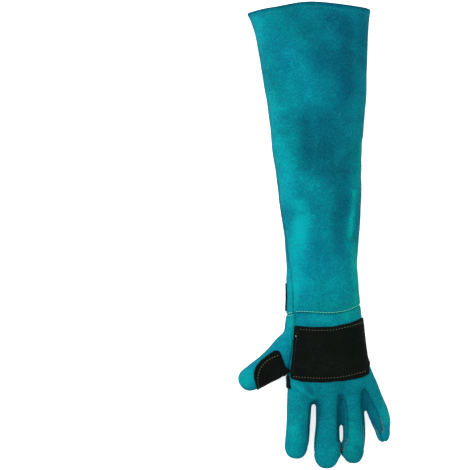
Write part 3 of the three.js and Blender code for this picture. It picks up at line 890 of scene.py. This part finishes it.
def stitch_row(runs, pitch, length, thick, sink):
    """Points and faces of the stitches along runs of surface points."""
    turn = 2 * np.pi * np.arange(STITCH_SIDES) / STITCH_SIDES
    out, up = np.cos(turn)[:, None], np.sin(turn)[:, None]
    parts = []
    for run in runs:
        spots, normals = np.array(run).transpose(1, 0, 2)
        along = lengths_along(spots)
        for start in np.arange(pitch / 2, along[-1] - length, pitch):
            rings = []
            for share, rise, scale in STITCH_STATIONS:
                at = start + share * length
                centre = read(spots, along, at)
                normal = read(normals, along, at)
                ahead = read(spots, along, at + 0.5) - centre
                ahead /= max(np.linalg.norm(ahead), 1e-6)
                normal -= ahead * normal.dot(ahead)
                normal /= max(np.linalg.norm(normal), 1e-6)
                side = np.cross(normal, ahead)
                radius = thick / 2 * scale
                centre = centre + normal * (rise * thick / 2 - sink)
                rings.append(centre + radius * (out * side + up * normal))
            parts.append(loft(np.array(rings)))
    points, faces = merged(parts)
    points[:, 2] = np.maximum(points[:, 2], PATCH_LOW)
    return points, faces


def thread(name, runs, material, pitch, length, thick, sink=0.0):
    """One piece of thread, with a stitch at every pitch along the runs."""
    mesh = new_mesh(name, *stitch_row(runs, pitch, length, thick, sink))
    mesh.materials.append(material)
    piece = new_object(name, mesh)
    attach(piece, "root")


def inset(outline, distance):
    """A closed outline moved inwards, its points kept in order."""
    points = rounded(outline)
    ahead = unit(np.roll(points, -1, axis=0) - np.roll(points, 1, axis=0))
    area = np.sum(points[:, 0] * np.roll(points[:, 1], -1) - np.roll(points[:, 0], -1) * points[:, 1])
    inward = columns(-ahead[:, 1], ahead[:, 0]) * np.sign(area)
    moved = points + inward * distance
    keep = outline_distance(points, np.column_stack([moved, np.zeros(len(moved))])) > 0.97 * distance
    moved = moved[keep]
    return np.concatenate([moved, moved[:1]])


# Materials


class Nodes:
    """Builds a shader tree with few words."""

    def __init__(self, name):
        self.material = bpy.data.materials.new(name)
        self.material.use_nodes = True
        self.tree = self.material.node_tree
        self.shader = next(n for n in self.tree.nodes if n.type == "BSDF_PRINCIPLED")
        self.place = self.add("TexCoord").outputs["Object"]

    def feed(self, socket, value):
        """Link another node's output to a socket, or set its value."""
        if isinstance(value, bpy.types.NodeSocket):
            self.tree.links.new(value, socket)
        else:
            socket.default_value = value

    def add(self, kind, inputs=(), **settings):
        """A node with these settings, and with pairs of a socket and what feeds it."""
        node = self.tree.nodes.new("ShaderNode" + kind)
        for key, value in settings.items():
            setattr(node, key, value)
        for key, value in inputs:
            self.feed(node.inputs[key], value)
        return node

    def noise(self, scale, detail, rough, stretch=None, warp=0.0):
        place = self.place
        if stretch:
            inputs = [("Vector", place), ("Scale", stretch)]
            place = self.add("Mapping", inputs).outputs["Vector"]
        inputs = [("Vector", place), ("Scale", scale), ("Detail", detail), ("Roughness", rough)]
        return self.add("TexNoise", inputs + [("Distortion", warp)]).outputs["Fac"]

    def fit(self, value, low, high, to_low=0.0, to_high=1.0):
        inputs = [("Value", value), ("From Min", low), ("From Max", high)]
        inputs += [("To Min", to_low), ("To Max", to_high)]
        return self.add("MapRange", inputs).outputs["Result"]

    def plus(self, a, b, operation="ADD"):
        return self.add("Math", [(0, a), (1, b)], operation=operation).outputs["Value"]

    def times(self, a, b):
        return self.plus(a, b, "MULTIPLY")

    def blend(self, factor, a, b, mode="MIX"):
        node = self.add("Mix", [(0, factor)], data_type="RGBA", blend_type=mode)
        sockets = [s for s in node.inputs if s.type == "RGBA"]
        for socket, value in zip(sockets, (a, b)):
            self.feed(socket, (*value, 1) if isinstance(value, tuple) else value)
        return next(s for s in node.outputs if s.type == "RGBA")

    def attribute(self, name):
        return self.add("Attribute", attribute_name=name).outputs["Fac"]

    def bump(self, height, distance, strength, under=None):
        inputs = [("Height", height), ("Distance", distance), ("Strength", strength)]
        if under is not None:
            inputs.append(("Normal", under))
        return self.add("Bump", inputs).outputs["Normal"]

    def set(self, **values):
        for name, value in values.items():
            self.feed(self.shader.inputs[name.replace("_", " ")], value)
        return self.material


def suede(name, deep, mid, light, edge, fleck, tone_gain, sheen, sheen_tint):
    """Brushed split leather: cloudy nap, short fibres, specks of light fibre tips."""
    n = Nodes(name)
    clouds = n.noise(22, 3, 0.55, warp=0.4)
    patches = n.noise(70, 3, 0.6)
    grain = n.noise(420, 3, 0.65)
    fibres = n.noise(1500, 2, 0.6, stretch=(1, 0.45, 1))
    amount = n.plus(n.fit(clouds, 0.32, 0.68, -0.18, 0.18), n.fit(patches, 0.3, 0.7, -0.14, 0.14))
    amount = n.plus(amount, n.fit(grain, 0.3, 0.7, -0.3, 0.3))
    amount = n.plus(amount, n.fit(fibres, 0.3, 0.7, -0.2, 0.2))
    # the panels' tone: nap, with painted shade and painted highlights
    amount = n.plus(amount, n.times(n.attribute("tone"), tone_gain))
    dark = n.blend(n.fit(amount, -0.75, 0.0), deep, mid)
    colour = n.blend(n.fit(amount, 0.0, 0.75), dark, light)
    # near seams, the rim and cut edges the colour turns towards the edge colour, patchy with the grain
    wear = n.times(n.attribute("wear"), n.fit(grain, 0.35, 0.7, 0.35, 1.0))
    colour = n.blend(n.times(wear, 0.55), colour, edge)
    specks = n.fit(n.noise(800, 1, 0.5), 0.62, 0.76)
    colour = n.blend(n.times(specks, 0.4), colour, fleck)
    greener = n.blend(1.0, colour, (1, 1, 0.72), "MULTIPLY")
    colour = n.blend(n.times(n.attribute("green"), 0.6), colour, greener)
    drift = n.fit(n.noise(14, 2, 0.5), 0.35, 0.65)
    colour = n.blend(1.0, colour, n.blend(drift, (1, 0.98, 1.04), (1, 1.02, 0.96)), "MULTIPLY")
    coarse = n.bump(n.plus(grain, n.times(patches, 1.5)), 0.0006, 0.55)
    fine = n.bump(fibres, 0.00035, 0.7, under=coarse)
    return n.set(
        Base_Color=colour,
        Roughness=n.fit(grain, 0.3, 0.7, 0.86, 1.0),
        Normal=fine,
        Specular_IOR_Level=0.04,
        Sheen_Weight=sheen,
        Sheen_Roughness=0.5,
        Sheen_Tint=(*sheen_tint, 1),
    )


def twisted_thread(name, dark, light):
    """Heavy sewing thread, darker between its twisted strands: painted shade."""
    n = Nodes(name)
    inputs = [("Vector", n.place), ("Scale", 420), ("Distortion", 1.5)]
    wave = n.add("TexWave", inputs, wave_type="BANDS", bands_direction="DIAGONAL")
    twist = wave.outputs["Fac"]
    fuzz = n.noise(1800, 2, 0.6)
    colour = n.blend(n.times(n.plus(twist, fuzz), 0.5), dark, light)
    return n.set(
        Base_Color=colour,
        Roughness=0.6,
        Normal=n.bump(twist, 0.0001, 0.6),
        Specular_IOR_Level=0.15,
    )


teal = suede(
    "teal_suede", deep=(0.0, 0.062, 0.098), mid=(0.0, 0.125, 0.165), light=(0.0, 0.245, 0.275),
    edge=(0.0, 0.045, 0.058), fleck=(0.03, 0.28, 0.32), tone_gain=0.6,
    sheen=0.04, sheen_tint=(0.05, 0.6, 0.7),
)
black = suede(
    "black_suede", deep=(0.0005, 0.001, 0.001), mid=(0.0018, 0.003, 0.0022), light=(0.006, 0.0085, 0.007),
    edge=(0.001, 0.008, 0.010), fleck=(0.011, 0.014, 0.011), tone_gain=0.3,
    sheen=0.02, sheen_tint=(0.5, 0.6, 0.55),
)
patch_thread = twisted_thread("patch_thread", (0.065, 0.05, 0.03), (0.18, 0.145, 0.09))
end_thread = twisted_thread("end_thread", (0.13, 0.13, 0.10), (0.36, 0.38, 0.30))
# a darker copy of the patch thread: painted shade on the stitches down the palm patch's side
shaded_patch_thread = twisted_thread("shaded_patch_thread", (0.015, 0.014, 0.010), (0.05, 0.045, 0.03))
seam_thread = twisted_thread("seam_thread", (0.04, 0.36, 0.26), (0.17, 0.72, 0.51))
ochre_thread = twisted_thread("ochre_thread", (0.16, 0.13, 0.04), (0.36, 0.28, 0.09))
teal_thread = twisted_thread("teal_thread", (0.0, 0.11, 0.14), (0.01, 0.22, 0.25))
for piece in panels:
    piece.data.materials.append(teal)
for piece in patches:
    piece.data.materials.append(black)

# Rows of stitches: piece, runs, material, and pitch, length and thickness of the stitches

leather = surface_of(panels)
palm_surface, thumb_surface, back_surface = [surface_of([piece]) for piece in patches]
palm_rows = [run for line in PALM_STITCHES for run in laid(line, palm_surface)]
back_row = laid(inset(BACK_PATCH, STITCH_INSET), back_surface, from_above=False)
thread("thread_palm_patch", palm_rows, patch_thread, 3.8, 2.3, 0.6)
# the side stitches in the darker copy of the patch thread, painted shade
thread("thread_palm_patch_side", laid(PALM_SIDE_STITCHES, palm_surface), shaded_patch_thread, 3.8, 2.3, 0.6)
thread("thread_palm_patch_end", laid(LOOSE_END, palm_surface), end_thread, 3, 2.6, 1.2)
thread("thread_thumb_patch", laid(THUMB_STITCHES, thumb_surface), patch_thread, 3.8, 2.5, 0.6)
thread("thread_back_patch", back_row, patch_thread, 3.8, 2.5, 0.6)


def seam_lines(one, other):
    """The lines along which two panels meet, as runs of points and normals."""
    def edges(k):
        pairs = np.sort(edges_of(faces[skin.zone == k]), axis=1)
        return {tuple(pair) for pair in pairs.tolist()}

    links = {}
    for a, b in edges(one) & edges(other):
        links.setdefault(a, []).append(b)
        links.setdefault(b, []).append(a)
    runs = []
    while links:
        ends = [k for k, near in links.items() if len(near) == 1]
        here = min(ends) if ends else min(links)
        line = [here]
        while links.get(here):
            there = links[here].pop()
            links[there].remove(here)
            if not links[here]:
                del links[here]
            here = there
            line.append(here)
        links.pop(here, None)
        runs.append([(outer[i], normals[i]) for i in line])
    return runs


def near_tips(run, reach):
    """The parts of a seam within reach of a fingertip, cut where another tip is nearer."""
    spots = np.array([spot for spot, _ in run])
    tips = np.array([finger.centre[-1] + finger.along[-1] * finger.tip for finger in fingers])
    away = np.linalg.norm(spots[:, None] - tips, axis=2)
    parts = []
    for k in range(len(fingers)):
        near = (away[:, k] < reach) & (away.argmin(axis=1) == k)
        changes = np.flatnonzero(np.diff(np.concatenate([[False], near, [False]])))
        parts += [run[a:b] for a, b in changes.reshape(-1, 2) if b - a > SHORTEST_SEAM]
    return parts


finger_rows = []
for k in range(FIRST_STRIP, len(PANELS)):
    for panel in (HAND_PALM, HAND_BACK):
        for run in seam_lines(k, panel):
            finger_rows += near_tips(run, FINGER_STITCHES_REACH)
thread("thread_fingers", finger_rows, ochre_thread, 3.1, 2.7, 0.8, sink=0.1)

wrist_rows = []
for first, last, shift, above in WRIST_ROWS:
    x = np.arange(first, last, 1.0)
    wrist_rows += laid(columns(x, wrist_y(x) + shift), leather, from_above=above)
thread("thread_wrist_seam", wrist_rows, seam_thread, 3.5, 3.2, 0.8)

hem_rows = []
for first, last, z, above in HEM_ROWS:
    x = np.arange(first, last, 1.0)
    y = opening_y(x) - OPENING_LEAN * (z - OPENING_MIDDLE) - HEM_STITCH
    hem_rows += laid(columns(x, y), leather, from_above=above)
thread("thread_hem", hem_rows, teal_thread, 4.6, 3.4, 0.75)

# Floor, light and camera

FLOOR = 4.0  # metres from its middle to its edge
corners = [(-FLOOR, -FLOOR, 0), (FLOOR, -FLOOR, 0), (FLOOR, FLOOR, 0), (-FLOOR, FLOOR, 0)]
floor_mesh = bpy.data.meshes.new("floor")
floor_mesh.from_pydata(corners, [], [(0, 1, 2, 3)])
floor = new_object("floor", floor_mesh)
paper = Nodes("paper")
floor_mesh.materials.append(paper.set(
    Base_Color=(0.85, 0.85, 0.85, 1),
    Roughness=0.9,
    Emission_Color=(1, 1, 1, 1),
    Emission_Strength=0.7,
))

PHOTO_SIZE = 470
PHOTO_SCALE = 1.289  # millimetres to a pixel at the height of the hand
PHOTO_MIDDLE = 315.5  # the column of pixels where x is 0
HAND_HEIGHT = 25
CAMERA_HEIGHT = 2200  # above the hand
CAMERA_X = (PHOTO_SIZE / 2 - PHOTO_MIDDLE) * PHOTO_SCALE
SENSOR = 36
camera = new_object("camera", bpy.data.cameras.new("camera"))
camera.data.sensor_width = SENSOR
camera.data.lens = SENSOR * CAMERA_HEIGHT / (PHOTO_SIZE * PHOTO_SCALE)
camera.location = (CAMERA_X * MM, 0, (CAMERA_HEIGHT + HAND_HEIGHT) * MM)
scene = bpy.context.scene
scene.camera = camera


def area_light(name, place, size, watts):
    """A square light that faces the origin."""
    data = bpy.data.lights.new(name, "AREA")
    data.size = size
    data.energy = watts
    light = new_object(name, data)
    light.location = place
    light.rotation_euler = (-Vector(place)).to_track_quat("-Z", "Y").to_euler()


area_light("key", (-1.5, 0.9, 1.7), size=1.4, watts=62)
area_light("fill", (1.6, -0.3, 1.5), size=1.6, watts=16)
scene.view_settings.view_transform = "Standard"
world = scene.world or bpy.data.worlds.new("world")
scene.world = world
world.use_nodes = True
backdrop = next(n for n in world.node_tree.nodes if n.type == "BACKGROUND")
backdrop.inputs["Color"].default_value = (1, 1, 1, 1)
backdrop.inputs["Strength"].default_value = 0.75
